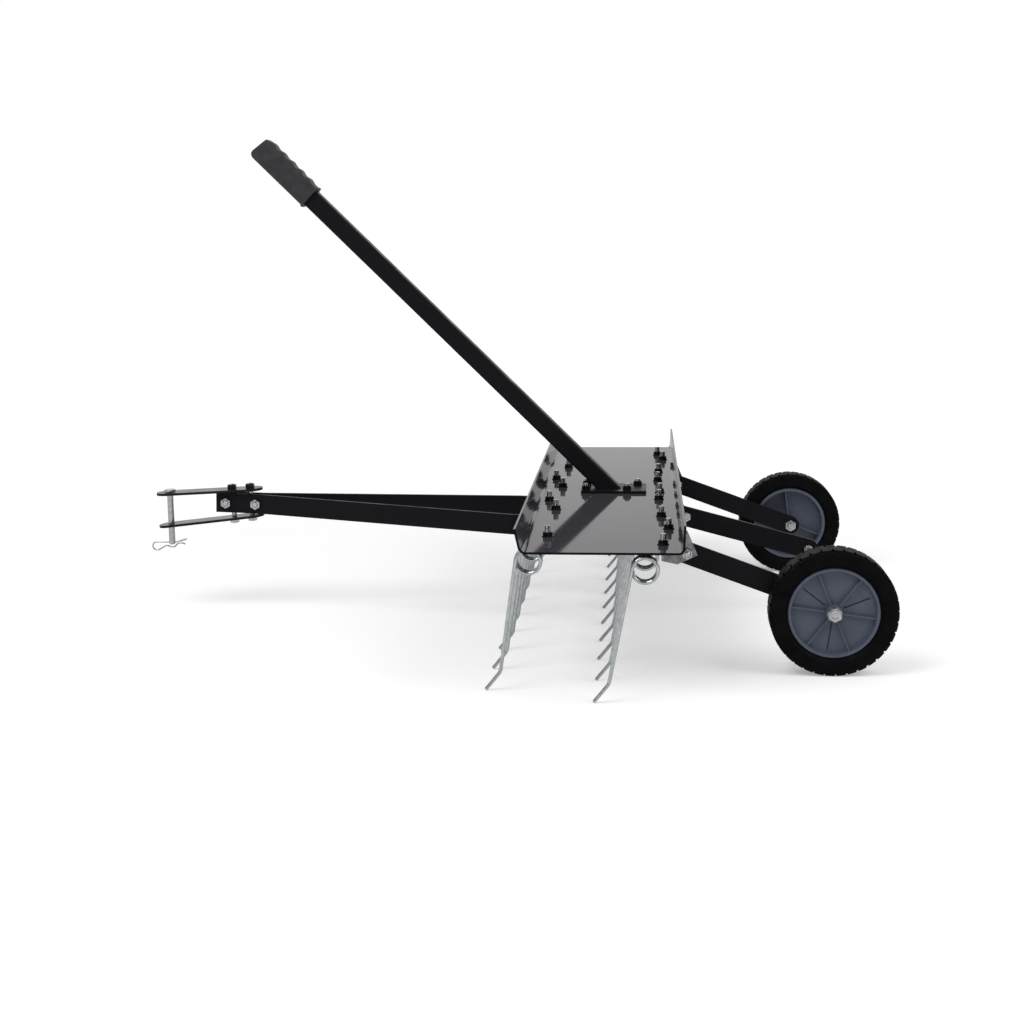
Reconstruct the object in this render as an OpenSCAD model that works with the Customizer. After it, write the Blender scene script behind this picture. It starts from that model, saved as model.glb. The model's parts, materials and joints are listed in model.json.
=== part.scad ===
// Tow-behind lawn tool with two rows of spring tines, two wheels, a hinged drawbar and a lifting handle.
// X points backwards, Y to the right and Z up. The ground is at Z = 0.

/* [Deck] */
// Length of the deck across the direction of travel
deck_length = 1020; // [1016:1:1060]
// Depth of the deck from fold to fold
deck_depth = 209; // [205:1:225]
// Height of the deck's upper face above the ground
deck_height = 200; // [190:1:215]
// Thickness of the deck's sheet
deck_sheet = 3; // [2:0.25:4]
// Inside radius of the deck's folds
fold_radius = 5; // [3:0.5:6]
// Inside radius of the deck's front fold
front_fold_radius = 8; // [5:0.5:8]
// Height of the rear flange above the deck
rear_flange = 35; // [20:1:45]
// Lean of the rear flange
rear_lean = 2.5; // [0:0.5:6]
// Height of the front flange above the deck
front_flange = 30; // [20:1:45]
// Outward lean of the front flange
front_lean = 13; // [8:1:20]

/* [Spring tines] */
// Distance between neighbouring tines of one row
tine_pitch = 213.5; // [208:0.5:213.5]
// Distance between the two rows of tine bolts
row_gap = 154; // [150:1:156]
// Diameter of the tine wire
wire_d = 5; // [4:0.25:5.5]
// Mean radius of a tine coil
coil_radius = 16.6; // [15:0.2:17]
// Free gap between two turns of a coil
turn_gap = 0.7; // [0.5:0.1:1]
// Distance from the tine bolt forward to the coil's centre
coil_setback = 23.5; // [22:0.5:24]
// Distance from the tine bolt forward to the tine's crossbar
bar_setback = 13; // [12.8:0.1:13.5]
// Slope of the wire from a coil up to the crossbar
coil_exit = 9; // [7:0.5:12]
// Rake of the rear row's tine legs from the vertical
rear_rake = 11; // [8:0.1:13]
// Rake of the front row's tine legs from the vertical
front_rake = 8; // [7:0.1:13]
// Height of the bend above the ground
tip_bend_height = 26; // [18:1:32]
// Lean of the tip from the vertical
tip_lean = 39; // [32:1:48]
// Thickness of a tine clip
clip_sheet = 3; // [2:0.25:3.5]
// Width of a tine clip
clip_width = 24; // [18:1:30]

/* [Wheels] */
// Radius of a wheel over its tread
wheel_radius = 88; // [82:1:92]
// Width of a tyre
tyre_width = 45; // [40:1:50]
// Radius of the rim at the tyre's seat
rim_radius = 60; // [56:1:62]
// Distance between the middles of the wheels
wheel_track = 690; // [680:1:720]
// Distance of the axle behind the middle of the deck
axle_x = 311; // [295:1:330]
// Diameter of an axle bolt
axle_d = 10; // [10:0.5:12]

/* [Rear arms] */
// Height of an arm's section
arm_height = 31; // [28:1:34]
// Thickness of an arm
arm_thickness = 5; // [4:0.5:6]
// Distance between the middles of the two wheel arms
arm_spacing = 621; // [617:1:625]
// Distance of the wheel arms' front bolts behind the middle of the deck
arm_front_x = 90; // [89:0.5:93]
// Drop of the wheel arms' front bolts below the deck
arm_front_drop = 31; // [29:1:34]
// Drop of the centre arm's front bolt below the deck
centre_arm_drop = 36; // [33:1:40]
// Height of the centre arm's end bolt above the ground
centre_arm_end_z = 107; // [100:1:115]
// Distance between the two bolts that hold an arm
arm_bolt_gap = 24; // [20:1:25]

/* [Drawbar] */
// Length of the drawbar from its pivot to the hitch pin
drawbar_reach = 582; // [560:1:600]
// Height of a drawbar bar
bar_height = 31; // [28:1:34]
// Thickness of a drawbar bar
bar_thickness = 5; // [4:0.5:6]
// Distance between the middles of the bars at the pivot
bar_spacing_rear = 178; // [177:1:182]
// Distance between the middles of the bars at the hitch
bar_spacing_front = 17; // [17:0.5:22]
// Rise of the drawbar towards the hitch
drawbar_rise = 2.3; // [0:0.1:4]
// Distance of the pivot in front of the middle of the deck
pivot_setback = 131; // [130:0.5:135]
// Drop of the pivot below the deck
pivot_drop = 41; // [38:1:44]
// Diameter of a pivot bolt
pivot_d = 10; // [8:0.5:10]

/* [Hitch] */
// Length of a clevis plate
plate_length = 174; // [165:1:190]
// Width of a clevis plate
plate_width = 38; // [32:1:45]
// Thickness of a clevis plate
plate_sheet = 4; // [3:0.5:5]
// Lean of the upper clevis plate from the bars
upper_lean = 5.4; // [4:0.1:6.5]
// Lean of the lower clevis plate from the bars
lower_lean = 9; // [7:0.1:10]
// Lean of the bolts that clamp the two clevis plates
plate_bolt_lean = 5.2; // [4:0.1:6]
// Width across flats of the bolts through the drawbar's bars
cross_flats = 14.5; // [13:0.5:16]
// Diameter of the hitch pin
pin_d = 10; // [8:0.5:11]
// Length of the hitch pin below its head
pin_length = 87; // [84:1:95]
// Diameter of the clip's wire
clip_wire_d = 2.4; // [2:0.1:2.8]

/* [Handle] */
// Length of the handle from the foot to the top of the grip
handle_length = 758; // [650:5:800]
// Lean of the handle from the vertical
handle_lean = 45.5; // [35:0.1:50]
// Side of the handle's square tube
tube_side = 28; // [24:1:30]
// Wall of the handle's tube
tube_wall = 2; // [1.5:0.25:3]
// Length of the grip
grip_length = 106; // [100:1:130]
// Thickness of the handle's foot
foot_sheet = 4; // [3:0.5:5]
// Length of the handle's foot
foot_length = 102; // [98:1:110]
// Width of the handle's foot
foot_width = 80; // [72:1:90]

/* [Fasteners] */
// Diameter of the common bolts
bolt_d = 8; // [7:0.5:8]
// Width across flats of the common bolts
bolt_flats = 13; // [12:0.5:13]
// Length of a deck bolt that stands out above its nut
bolt_stand = 8; // [4:1:12]

/* [Hidden] */
$fn = 48;

black = [0.09, 0.09, 0.1];
deck_grey = [0.3, 0.3, 0.32];
zinc = [0.66, 0.67, 0.68];
rubber = [0.07, 0.07, 0.07];
rim_grey = [0.3, 0.34, 0.41];

// Clearances: a seat that touches through a film of paint, a bolt in its hole, a running shaft
seat_gap = 0.1;
hole_clearance = 0.4;
thread_clearance = 0.05;
running_clearance = 0.08;
end_play = 0.4;

deck_under = deck_height - deck_sheet;
deck_middle = -2;
row_x = row_gap / 2;
tine_count = 5;
leg_spacing = tine_pitch / 2;
row_shift = tine_pitch / 8;
wire_r = wire_d / 2;
coil_turns = 3;
rings_per_turn = 8;
tube_sides = 6;
nut_height = bolt_d * 0.8;
head_height = bolt_d * 0.66;
nut_flange_d = bolt_flats * 1.2;
nut_flange_height = 1.4;
bracket_sheet = 3;
bracket_leg = 47;
clip_tail = 11;

arm_y = arm_spacing / 2;
arm_front_z = deck_under - arm_front_drop + deck_sheet;
arm_angle = atan2(arm_front_z - wheel_radius, axle_x - arm_front_x);
arm_length = norm([axle_x - arm_front_x, arm_front_z - wheel_radius]);
centre_front_x = 96;
centre_front_z = deck_under - centre_arm_drop + deck_sheet;
centre_angle = atan2(centre_front_z - centre_arm_end_z, axle_x - centre_front_x);
centre_length = norm([axle_x - centre_front_x, centre_front_z - centre_arm_end_z]);
bracket_bolt_x = 86;
bracket_bolt_out = 29;
ear_x = 75;
ear_y = 92;

pivot_x = -pivot_setback;
pivot_z = deck_height - pivot_drop;
bar_y = bar_spacing_rear / 2;
hitch_y = bar_spacing_front / 2;
block_end = drawbar_reach - 78.5;
block_length = 73.5;
bar_straight = 20;
cross_bolt_inset = [16.4, 64.5];
plate_bolt_inset = [25.2, 55];

// The part's origin lies on the ground, halfway between the clip's loop and the back of the wheels
pin_x = pivot_x - drawbar_reach * cos(drawbar_rise);
clip_reach = 32.5;
middle_x = (axle_x + wheel_radius + pin_x - clip_reach - clip_wire_d / 2) / 2;
module placed() {
    translate([-middle_x, 0, 0]) children();
}

// Unit vector of v
function unit(v) = v / norm(v);
// Point p turned by angle a in its plane
function turned(p, a) = [p[0] * cos(a) - p[1] * sin(a), p[0] * sin(a) + p[1] * cos(a)];

// One side of a strip of sheet that follows path, with its folds rounded to one inside radius or to a list
function strip_side(path, radius, sheet, side) = [
    for (i = [0 : len(path) - 1])
        let (into = unit(i == 0 ? path[1] - path[0] : path[i] - path[i - 1]),
            out = i == len(path) - 1 ? into : unit(path[i + 1] - path[i]),
            turn = atan2(into[0] * out[1] - into[1] * out[0], into * out),
            steps = abs(turn) < 0.01 ? 0 : 6,
            way = sign(turn),
            mid = (is_list(radius) ? radius[i] : radius) + sheet / 2,
            centre = path[i] - into * mid * tan(abs(turn) / 2) + turned(into, 90 * way) * mid,
            arm = turned(into, -90 * way) * (mid - side * way * sheet / 2))
            for (k = [0 : steps])
                steps == 0 ? path[i] + turned(into, 90) * side * sheet / 2
                    : centre + turned(arm, turn * k / steps)];

// Outline of a strip of bent sheet
function strip(path, radius, sheet) = concat(
    strip_side(path, radius, sheet, 1),
    [let (right = strip_side(path, radius, sheet, -1)) for (i = [len(right) - 1 : -1 : 0]) right[i]]);

// Outline of a bar with round ends between two points
function round_bar(a, b, half) = let (way = atan2(b[1] - a[1], b[0] - a[0])) concat(
    [for (k = [0 : 12]) a + half * [cos(way + 90 + k * 15), sin(way + 90 + k * 15)]],
    [for (k = [0 : 12]) b + half * [cos(way - 90 + k * 15), sin(way - 90 + k * 15)]]);

// Outline of a rectangle with round corners
function round_rectangle(length, width, r) = [for (q = [0 : 3], k = [0 : 4])
    let (a = 90 * q + 22.5 * k, corner = [sign(cos(90 * q + 45)), sign(sin(90 * q + 45))])
    [corner[0] * (length / 2 - r), corner[1] * (width / 2 - r)] + r * [cos(a), sin(a)]];

// Points that round the corner b between a and c
function rounded(a, b, c, radius, steps) =
    let (u = unit(a - b), v = unit(c - b), open = acos(u * v), arc = 180 - open,
        centre = b + unit(u + v) * radius / sin(open / 2),
        from = b + u * radius / tan(open / 2) - centre,
        to = b + v * radius / tan(open / 2) - centre)
    [for (k = [0 : steps]) let (t = arc * k / steps) centre + (from * sin(arc - t) + to * sin(t)) / sin(arc)];

// Side normal of each ring of a tube along points, carried on without a twist
function carried(v, t) = unit(v - t * (v * t));
function tangents(p) = [for (i = [0 : len(p) - 1]) unit(p[min(i + 1, len(p) - 1)] - p[max(i - 1, 0)])];
function normals(t, first) = [for (i = 0, n = carried(first, t[0]); i < len(t);
    i = i + 1, n = i < len(t) ? carried(n, t[i]) : n) n];

// Unbroken tube along points
module wire(points, radius, first) {
    t = tangents(points);
    n = normals(t, first);
    rings = len(points);
    vertices = [for (i = [0 : rings - 1]) for (k = [0 : tube_sides - 1])
        let (a = 360 * k / tube_sides) points[i] + radius * (n[i] * cos(a) + cross(t[i], n[i]) * sin(a))];
    sides = [for (i = [0 : rings - 2]) for (k = [0 : tube_sides - 1])
        let (a = i * tube_sides + k, b = i * tube_sides + (k + 1) % tube_sides)
        for (f = [[a, a + tube_sides, b + tube_sides], [a, b + tube_sides, b]]) f];
    caps = [for (k = [1 : tube_sides - 2]) for (f = [[0, k, k + 1],
        [(rings - 1) * tube_sides, (rings - 1) * tube_sides + k + 1, (rings - 1) * tube_sides + k]]) f];
    polyhedron(points = vertices, faces = concat(sides, caps));
}

// Tines: the origin is the bolt's axis at the deck's lower face
bar_z = -(wire_r + 2 * seat_gap);
bar_reach = coil_setback - bar_setback + coil_radius * sin(coil_exit);
coil_z = bar_z - bar_reach * tan(coil_exit) - coil_radius * cos(coil_exit);
leg_y = leg_spacing / 2;
turn_step = wire_d + turn_gap;
tip_bend_radius = 14;
bar_bend_radius = 5;

// Half of a tine from its tip to the middle of its crossbar, for the rake of its leg
function half_tine(rake) = let (
    sweep = 360 * coil_turns + 90 - rake - coil_exit,
    rings = round(sweep * rings_per_turn / 360),
    inner_y = leg_y - turn_step * sweep / 360,
    top = [-coil_setback - coil_radius * cos(rake), leg_y, coil_z + coil_radius * sin(rake)],
    bend_z = tip_bend_height - deck_under,
    bend = [top[0] - (top[2] - bend_z) * tan(rake), leg_y, bend_z],
    tip_z = wire_r * sin(tip_lean) - deck_under,
    tip = [bend[0] - (bend_z - tip_z) * tan(tip_lean), leg_y, tip_z],
    coil = [for (i = [0 : rings]) let (turn = sweep * i / rings, a = 180 - rake - turn, r = coil_radius)
        [r * cos(a) - coil_setback, leg_y - turn_step * turn / 360, r * sin(a) + coil_z]],
    exit = coil[rings])
    concat([tip], rounded(tip, bend, top, tip_bend_radius, 3), coil,
        rounded(exit, [-bar_setback, inner_y, bar_z], [-bar_setback, 0, bar_z], bar_bend_radius, 4));

// Whole tine: the second half mirrors the first
function tine_points(rake) = let (half = half_tine(rake)) concat(half,
    [for (i = [len(half) - 1 : -1 : 0]) [half[i][0], -half[i][1], half[i][2]]]);

// Least gap between stretches of a tine's wire that aren't neighbours
function least_gap(p) = min([for (i = [0 : len(p) - 6]) for (j = [i + 5 : len(p) - 1])
    norm(p[i] - p[j])]) - wire_d;
echo(least_gap_of_a_rear_tine_mm = least_gap(tine_points(rear_rake)));
echo(least_gap_of_a_front_tine_mm = least_gap(tine_points(front_rake)));

// Place of a tine's bolt at the deck's lower face: row 1 is the rear one, row -1 the front one
function tine_place(row, i) = [row * row_x, (i - middle_tine) * tine_pitch - row * row_shift, deck_under];
middle_tine = (tine_count + 1) / 2;

// Sheet with two flanges and a hole for each deck bolt
module deck() {
    mid = deck_height - deck_sheet / 2;
    half = deck_depth / 2;
    front = front_flange + deck_sheet / 2;
    rear = rear_flange + deck_sheet / 2;
    profile = strip([[-half - front * tan(front_lean), mid + front], [-half, mid], [half, mid],
        [half + rear * tan(rear_lean), mid + rear]], [0, front_fold_radius, fold_radius, 0], deck_sheet);
    color(deck_grey) placed() difference() {
        translate([deck_middle, 0, 0]) rotate([90, 0, 0])
            linear_extrude(height = deck_length, center = true) polygon(profile);
        for (row = [-1, 1], i = [1 : tine_count])
            bolt_hole(tine_place(row, i));
        for (p = bracket_bolt_places()) bolt_hole([p[0], p[1], deck_under]);
        for (p = foot_bolt_places()) bolt_hole([p[0], p[1], deck_under]);
    }
}

module bolt_hole(place) {
    translate(place - [0, 0, 20]) cylinder(h = 40, d = bolt_d + 2 * hole_clearance);
}

module tine(row, i) {
    rake = row > 0 ? rear_rake : front_rake;
    color(zinc) placed() translate(tine_place(row, i)) wire(tine_points(rake), wire_r, [-1, 0, 0]);
}

// Cranked plate that presses the tine's crossbar against the deck
module tine_clips(row) {
    flat_z = -(seat_gap + clip_sheet / 2);
    hook_z = bar_z - wire_r - seat_gap - clip_sheet / 2;
    profile = strip([[clip_tail, flat_z], [wire_r - bar_setback + clip_sheet, flat_z],
        [wire_r - bar_setback + wire_d / 10, hook_z], [-bar_setback - wire_d, hook_z]],
        clip_sheet / 5, clip_sheet);
    color(zinc) placed() for (i = [1 : tine_count]) translate(tine_place(row, i))
        difference() {
            rotate([90, 0, 0]) linear_extrude(height = clip_width, center = true) polygon(profile);
            translate([0, 0, -10]) cylinder(h = 20, d = bolt_d + 2 * hole_clearance);
        }
}

// Hexagon bolt that points up from the plane z = 0, its head below
module hex_bolt(diameter, flats, grip, head) {
    translate([0, 0, -head]) rotate([0, 0, 30]) cylinder(h = head, d = flats / cos(30), $fn = 6);
    translate([0, 0, -head / 2]) cylinder(h = grip + head / 2, d = diameter);
}

// Hexagon nut with a plain bore, and a flange at its foot where one is given
module hex_nut(diameter, flats, height, flange = 0) {
    difference() {
        union() {
            rotate([0, 0, 30]) cylinder(h = height, d = flats / cos(30), $fn = 6);
            if (flange > 0) cylinder(h = nut_flange_height, d = flange, $fn = 24);
        }
        translate([0, 0, -1]) cylinder(h = height + 2, d = diameter + 2 * thread_clearance);
    }
}

module tine_bolts(row) {
    stack = seat_gap + clip_sheet;
    color(zinc) placed() for (i = [1 : tine_count]) translate(tine_place(row, i) - [0, 0, stack])
        hex_bolt(bolt_d, bolt_flats, stack + deck_sheet + nut_height + bolt_stand, head_height);
}

module tine_nuts(row) {
    color(black) placed() for (i = [1 : tine_count]) translate(tine_place(row, i) + [0, 0, deck_sheet])
        hex_nut(bolt_d, bolt_flats, nut_height, nut_flange_d);
}

// Deck bolts of the arm brackets and the drawbar brackets
function bracket_bolt_places() = [
    [bracket_bolt_x, -arm_y - bracket_bolt_out], [bracket_bolt_x, arm_y + bracket_bolt_out],
    [ear_x, -ear_y], [ear_x, ear_y],
    [drawbar_bolt_x, -bar_y - drawbar_bolt_out], [drawbar_bolt_x, bar_y + drawbar_bolt_out]];
drawbar_bolt_x = -91;
drawbar_bolt_out = 18;

module bracket_bolts() {
    color(zinc) placed() for (p = bracket_bolt_places()) translate([p[0], p[1], deck_under - bracket_sheet])
        hex_bolt(bolt_d, bolt_flats, bracket_sheet + deck_sheet + nut_height + bolt_stand, head_height);
}

module bracket_nuts() {
    color(black) placed() for (p = bracket_bolt_places()) translate([p[0], p[1], deck_height])
        hex_nut(bolt_d, bolt_flats, nut_height, nut_flange_d);
}

// Point on the line from an arm's front bolt, at a distance along it
function arm_point(x, z, angle, along) = [x + along * cos(angle), z - along * sin(angle)];

// Flat bar between two points of the X-Z plane, standing on edge with its middle at y
module flat_arm(x, z, angle, reach, y, end_d) {
    half = arm_height / 2;
    color(black) placed() difference() {
        translate([0, y + arm_thickness / 2, 0]) rotate([90, 0, 0]) linear_extrude(height = arm_thickness)
            polygon(round_bar([x, z], arm_point(x, z, angle, reach), half));
        for (s = [0, arm_bolt_gap]) cross_hole(arm_point(x, z, angle, s), y, bolt_d + 2 * hole_clearance);
        cross_hole(arm_point(x, z, angle, reach), y, end_d + 2 * hole_clearance);
    }
}

module cross_hole(p, y, diameter) {
    translate([p[0], y + 20, p[1]]) rotate([90, 0, 0]) cylinder(h = 40, d = diameter);
}

module arm(side) {
    flat_arm(arm_front_x, arm_front_z, arm_angle, arm_length, side * arm_y, axle_d);
}

module arm_centre() {
    flat_arm(centre_front_x, centre_front_z, centre_angle, centre_length, -arm_thickness / 2, bolt_d);
}

// Folded bracket: a leg under the deck and a web beside a bar, for the right-hand side
module folded_bracket(x0, x1, face_y, leg, drop, outline, holes, bolt, bolt_out) {
    mid = bracket_sheet / 2;
    difference() {
        intersection() {
            translate([x0, face_y, deck_under]) rotate([90, 0, 90]) linear_extrude(height = x1 - x0)
                polygon(strip([[leg, -mid], [mid, -mid], [mid, -drop]], 2, bracket_sheet));
            translate([0, face_y + leg + 1, 0]) rotate([90, 0, 0]) linear_extrude(height = leg + 2)
                polygon(outline);
        }
        for (h = holes) cross_hole(h, face_y, h[2] + 2 * hole_clearance);
        bolt_hole([bolt, face_y + bolt_out, deck_under]);
    }
}

// Reach of the wheel arms' webs round the front bolt: forwards, backwards and downwards
web_front = bolt_d + 5.5;
web_rear = arm_bolt_gap + bolt_flats;
web_drop = arm_height * 0.77;

module arm_bracket(side) {
    x = arm_front_x;
    z = arm_front_z;
    near = [for (s = [0, arm_bolt_gap]) let (p = arm_point(x, z, arm_angle, s)) [p[0], p[1], bolt_d]];
    outline = [[x - web_front, deck_under], [x + web_front, deck_under], [x + web_rear * 0.6, z + web_drop],
        [x + web_rear, z - web_drop * 0.46], [x + web_rear * 0.24, z - web_drop],
        [x - web_front, z - web_drop * 0.8]];
    color(zinc) placed() mirror([0, side < 0 ? 1 : 0, 0])
        folded_bracket(x - web_front, x + web_rear, arm_y + arm_thickness / 2, bracket_leg,
            deck_under - z + web_drop, outline, near, bracket_bolt_x, bracket_bolt_out - arm_thickness / 2);
}

// Strap with two ears under the deck and a web that carries the centre arm
strap_front = centre_front_x - 7;
strap_rear = centre_front_x + 5;
ear_half = bolt_flats;

module arm_bracket_centre() {
    x = centre_front_x;
    z = centre_front_z;
    drop = arm_height * 0.74;
    reach = arm_bolt_gap * 1.5;
    strap = [[strap_front, -ear_y - ear_half], [strap_rear, -ear_y - ear_half],
        [strap_rear, ear_y + ear_half], [strap_front, ear_y + ear_half]];
    web = [[x - reach * 0.75, deck_under - 1], [strap_rear, deck_under - 1],
        [x + reach * 0.4, z + drop * 0.7], [x + reach, z - drop * 0.17], [x + reach * 0.83, z - drop],
        [x - reach * 0.28, z - drop * 0.65], [x - reach * 0.75, z + drop * 0.43]];
    color(zinc) placed() difference() {
        union() {
            translate([0, 0, deck_under - bracket_sheet]) linear_extrude(height = bracket_sheet)
                polygon(strap);
            for (side = [-1, 1])
                translate([ear_x - bolt_d, side * ear_y - ear_half, deck_under - bracket_sheet])
                    cube([strap_rear - ear_x + bolt_d, 2 * ear_half, bracket_sheet]);
            translate([0, bracket_sheet, 0]) rotate([90, 0, 0]) linear_extrude(height = bracket_sheet)
                polygon(web);
        }
        for (s = [0, arm_bolt_gap])
            cross_hole(arm_point(x, z, centre_angle, s), 0, bolt_d + 2 * hole_clearance);
        for (side = [-1, 1]) bolt_hole([ear_x, side * ear_y, deck_under]);
    }
}

// Places of the cross bolts through the arms: [x, y of the head's face, z, direction of the shank]
function arm_bolt_places() = concat(
    [for (side = [-1, 1], s = [0, arm_bolt_gap]) let (p = arm_point(arm_front_x, arm_front_z, arm_angle, s))
        [p[0], side * (arm_y - arm_thickness / 2), p[1], side]],
    [for (s = [0, arm_bolt_gap]) let (p = arm_point(centre_front_x, centre_front_z, centre_angle, s))
        [p[0], -arm_thickness, p[1], 1]]);

// Moves a bolt that points up so that it points along Y
module along_y(p) {
    translate([p[0], p[1], p[2]]) rotate([-90 * p[3], 0, 0]) children();
}

module arm_bolts() {
    color(zinc) placed() for (p = arm_bolt_places()) along_y(p)
        hex_bolt(bolt_d, bolt_flats, arm_thickness + bracket_sheet + nut_height + 3, head_height);
}

module arm_nuts() {
    color(zinc) placed() for (p = arm_bolt_places()) along_y(p)
        translate([0, 0, arm_thickness + bracket_sheet]) hex_nut(bolt_d, bolt_flats, nut_height);
}

module centre_end_bolt() {
    color(zinc) placed() along_y([axle_x, -arm_thickness, centre_arm_end_z, 1])
        hex_bolt(bolt_d, bolt_flats, arm_thickness + nut_height + 6, head_height);
}

module centre_end_nut() {
    color(zinc) placed() along_y([axle_x, 0, centre_arm_end_z, 1]) hex_nut(bolt_d, bolt_flats, nut_height);
}

// Wheels: the axle bolt's head is outside, its nut is inside the arm
wheel_y = wheel_track / 2;
hub_half = tyre_width / 2 - 1;
washer_sheet = 2;
axle_flats = 17;
axle_head = 7;
axle_nut_height = 8;
head_face_y = wheel_y + hub_half + end_play / 2 + washer_sheet;
arm_inner_y = arm_y - arm_thickness / 2;
spacer_length = wheel_y - hub_half - end_play / 2 - arm_y - arm_thickness / 2;

module axle_bolt(side) {
    color(zinc) placed() along_y([axle_x, side * head_face_y, wheel_radius, -side])
        hex_bolt(axle_d, axle_flats, head_face_y - arm_inner_y + axle_nut_height + 4, axle_head);
}

module axle_nuts() {
    color(zinc) placed() for (side = [-1, 1]) along_y([axle_x, side * arm_inner_y, wheel_radius, -side])
        hex_nut(axle_d, axle_flats, axle_nut_height);
}

module ring(outer, inner, height) {
    difference() {
        cylinder(h = height, r = outer);
        translate([0, 0, -1]) cylinder(h = height + 2, r = inner);
    }
}

module axle_spacers() {
    arm_outer_y = arm_y + arm_thickness / 2;
    color(zinc) placed() for (side = [-1, 1]) along_y([axle_x, side * arm_outer_y, wheel_radius, side])
        ring(axle_d / 2 + 3.5, axle_d / 2 + thread_clearance, spacer_length);
}

module axle_washers() {
    color(zinc) placed() for (side = [-1, 1]) along_y([axle_x, side * head_face_y, wheel_radius, -side])
        ring(axle_d / 2 + 4.5, axle_d / 2 + thread_clearance, washer_sheet);
}

// Places a wheel's own axis, z pointing outwards
module at_wheel(side) {
    along_y([axle_x, side * wheel_y, wheel_radius, side]) children();
}

// Moulded rim: a disc near the outer side between a lipped barrel and a hub. The outer side has six
// raised ribs in three pairs with a groove between each pair, the inner side has three deep ribs.
rim_rib = 1.8;
rim_group = 22;
rim_spread = 30;
module rim(side) {
    lip = rim_radius + 3;
    half = tyre_width / 2 - 6;
    face = half + 2;
    bore = axle_d / 2 + running_clearance;
    hub = axle_d / 2 + 6.5;
    disc_in = 4;
    disc_out = 8;
    disc_r = rim_radius - 9;
    barrel = rim_radius - 5.5;
    color(rim_grey) placed() at_wheel(side) difference() {
        union() {
            rotate_extrude($fn = 96) polygon([[bore, -hub_half], [hub, -hub_half], [hub, disc_in],
                [barrel, disc_in], [lip - 5.5, -face], [lip - 1, -face], [lip, -half],
                [rim_radius, 3 - half], [rim_radius, half - 3], [lip, half], [lip - 1, face],
                [lip - 4.5, face], [disc_r, disc_out], [hub, disc_out], [hub, hub_half], [bore, hub_half]]);
            for (group = [0 : 2], way = [-1, 1]) rotate([0, 0, rim_group + 120 * group + rim_spread * way])
                rim_bar(hub - 2, rim_radius - 3, disc_out - 1, face - 3);
            for (group = [0 : 2]) rotate([0, 0, rim_group + 120 * group])
                rim_bar(hub - 2, rim_radius - 3, 3 - half, disc_in + 1);
        }
        for (group = [0 : 2]) rotate([0, 0, rim_group + 120 * group])
            rim_bar(hub + 3, disc_r - 3, disc_out - 3, disc_out + 1);
        translate([0, 0, -tyre_width]) cylinder(h = 2 * tyre_width, r = bore);
    }
}

module rim_bar(from, to, low, high) {
    translate([from, -rim_rib / 2, low]) cube([to - from, rim_rib, high - low]);
}

// Solid tyre with a flat tread, rounded shoulders and side grooves between the tread blocks
module tyre(side) {
    half = tyre_width / 2;
    lip = rim_radius + 3;
    bead = half - 6;
    shoulder = 5;
    tread_r = wheel_radius - shoulder;
    blocks = 36;
    color(rubber) placed() at_wheel(side) difference() {
        rotate_extrude($fn = 96) polygon(concat(
            [[rim_radius, -bead + 3], [lip, -bead], [lip + 1, -bead - 2.5], [lip + 5, -half]],
            [for (a = [0 : 22.5 : 90]) [tread_r + shoulder * sin(a), -half + shoulder * (1 - cos(a))]],
            [for (a = [0 : 22.5 : 90]) [tread_r + shoulder * cos(a), half - shoulder * (1 - sin(a))]],
            [[lip + 5, half], [lip + 1, bead + 2.5], [lip, bead], [rim_radius, bead - 3]]));
        for (k = [0 : blocks - 1], face = [-1, 1]) rotate([0, 0, (k + face / 4) * 360 / blocks])
            translate([wheel_radius - 3, -1.5, face > 0 ? half - 13 : -half - 1]) cube([6, 3, 14]);
    }
}

// Drawbar: its own frame has u forwards from the pivot, y sideways and h upwards
module drawbar_frame() {
    translate([pivot_x, 0, pivot_z]) rotate([0, drawbar_rise, 0]) mirror([1, 0, 0]) children();
}

// Flat bar on edge: straight at the pivot, drawn in towards the middle, straight again at the hitch
module drawbar(side) {
    half = bar_height / 2;
    path = [[-half, bar_y], [bar_straight, bar_y], [block_end - block_length, hitch_y], [block_end, hitch_y]];
    color(black) placed() mirror([0, side < 0 ? 1 : 0, 0]) drawbar_frame() difference() {
        intersection() {
            translate([0, 0, -half]) linear_extrude(height = bar_height)
                polygon(strip(path, 12, bar_thickness));
            translate([0, bar_y + 20, 0]) rotate([90, 0, 0]) linear_extrude(height = bar_y + 20)
                polygon(concat([[block_end, -half], [block_end, half]],
                    [for (k = [0 : 12]) half * [cos(90 + 15 * k), sin(90 + 15 * k)]]));
        }
        translate([0, bar_y + 20, 0]) rotate([90, 0, 0])
            cylinder(h = 40, d = pivot_d + 2 * running_clearance);
        for (inset = cross_bolt_inset) translate([block_end - inset, hitch_y + 20, 0]) rotate([90, 0, 0])
            cylinder(h = 40, d = bolt_d + 2 * hole_clearance);
    }
}

module drawbar_bracket(side) {
    outline = [[drawbar_bolt_x + 13, deck_under], [drawbar_bolt_x - 9, deck_under],
        [drawbar_bolt_x - 14, deck_under - 5], [pivot_x - 8, pivot_z + 15], [pivot_x - 16, pivot_z + 6],
        [pivot_x - 16, pivot_z - 8], [pivot_x - 8, pivot_z - 15], [pivot_x + 8, pivot_z - 15],
        [drawbar_bolt_x + 13, deck_under - 18]];
    color(black) placed() mirror([0, side < 0 ? 1 : 0, 0])
        folded_bracket(pivot_x - 16, drawbar_bolt_x + 13, bar_y + bar_thickness / 2 + end_play / 2, 30,
            deck_under - pivot_z + 15, outline, [[pivot_x, pivot_z, pivot_d]], drawbar_bolt_x,
            drawbar_bolt_out - bar_thickness / 2 - end_play / 2);
}

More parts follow.
